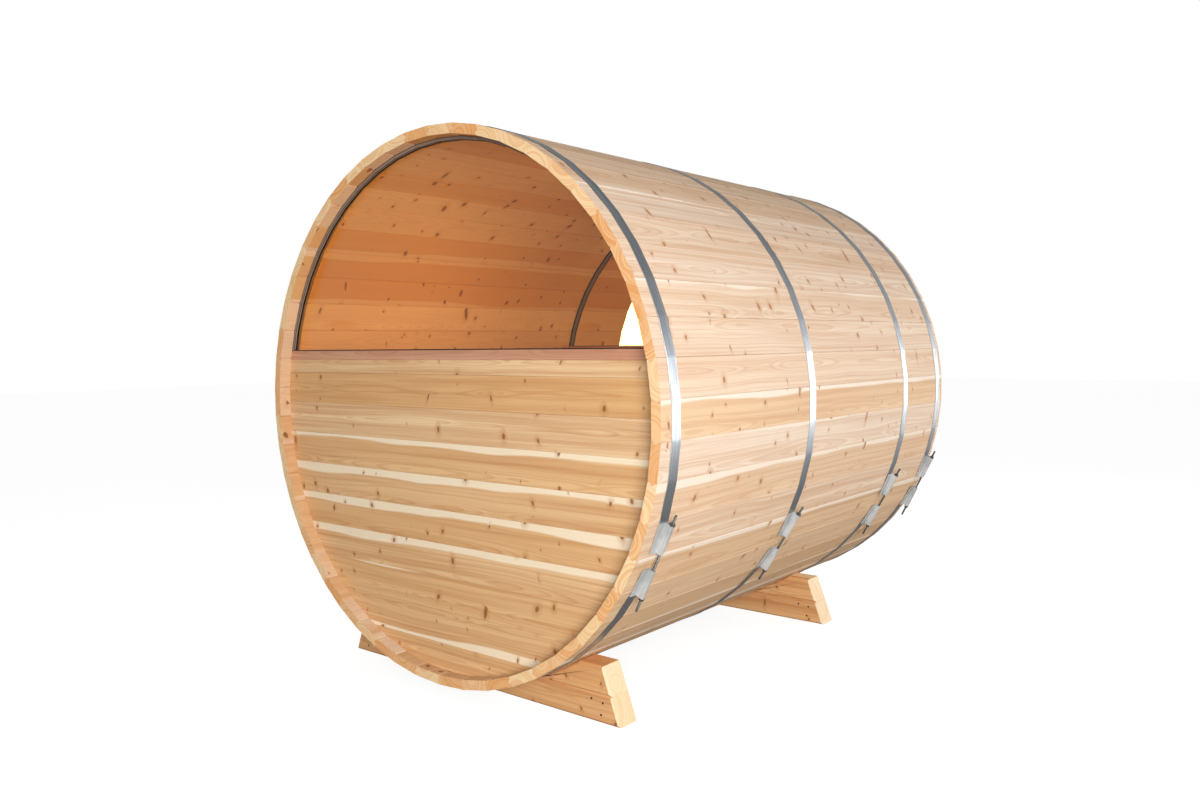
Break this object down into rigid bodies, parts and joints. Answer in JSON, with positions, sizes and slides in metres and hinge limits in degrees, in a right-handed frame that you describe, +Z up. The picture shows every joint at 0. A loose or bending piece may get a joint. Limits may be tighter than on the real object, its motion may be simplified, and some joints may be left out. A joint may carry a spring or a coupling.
{
  "type": "barrel sauna",
  "caption": "Round timber barrel sauna with metal hoops and tensioning rods, a half-glazed end wall, a door wall behind an open porch, and two timber cradles.",
  "frame": {"origin": "on the ground under the barrel's axis, at the middle of the barrel's length", "axes": "+Z up, Y along the barrel's axis with the half-glazed window wall at -Y and the porch at +Y, +X towards the side that carries the hoop lugs"},
  "size_m": [2.1342, 2.438, 2.1832],
  "materials": {
    "stave_cedar": "planed, unfinished",
    "wall_cedar": "planed, unfinished",
    "sill_cedar": "planed, unfinished",
    "door_cedar": "planed, unfinished",
    "cradle_cedar": "sawn",
    "hoop_metal": "satin",
    "lug_metal": "galvanised",
    "rod_metal": "threaded",
    "bronze_glass": "tinted, clear",
    "gasket": "matte",
    "hinge_metal": "satin"
  },
  "bodies": {
    "root": {"roof_staves_right": "stave_cedar", "roof_staves_left": "stave_cedar", "shoulder_staves_right": "stave_cedar", "shoulder_staves_left": "stave_cedar", "side_staves_right": "stave_cedar", "side_staves_left": "stave_cedar", "haunch_staves_right": "stave_cedar", "haunch_staves_left": "stave_cedar", "floor_staves_right": "stave_cedar", "floor_staves_left": "stave_cedar", "hoop_1": "hoop_metal", "hoop_2": "hoop_metal", "hoop_3": "hoop_metal", "hoop_4": "hoop_metal", "hoop_1_lugs": "lug_metal", "hoop_2_lugs": "lug_metal", "hoop_3_lugs": "lug_metal", "hoop_4_lugs": "lug_metal", "hoop_1_rod": "rod_metal", "hoop_2_rod": "rod_metal", "hoop_3_rod": "rod_metal", "hoop_4_rod": "rod_metal", "window_wall_boards": "wall_cedar", "window_wall_sill": "sill_cedar", "window_wall_glass": "bronze_glass", "window_wall_gasket": "gasket", "door_wall_boards_right": "wall_cedar", "door_wall_boards_left": "wall_cedar", "door_wall_sills": "sill_cedar", "door_wall_glass": "bronze_glass", "door_wall_gaskets": "gasket", "board_over_door": "wall_cedar", "board_under_door": "wall_cedar", "door_jambs": "door_cedar", "door_head": "door_cedar", "door_threshold": "door_cedar", "door_stiles": "door_cedar", "door_rails": "door_cedar", "door_glass": "bronze_glass", "door_hinges": "hinge_metal", "door_handle": "door_cedar", "cradle_near_lower": "cradle_cedar", "cradle_near_upper": "cradle_cedar", "cradle_far_lower": "cradle_cedar", "cradle_far_upper": "cradle_cedar"}
  },
  "joints": []
}
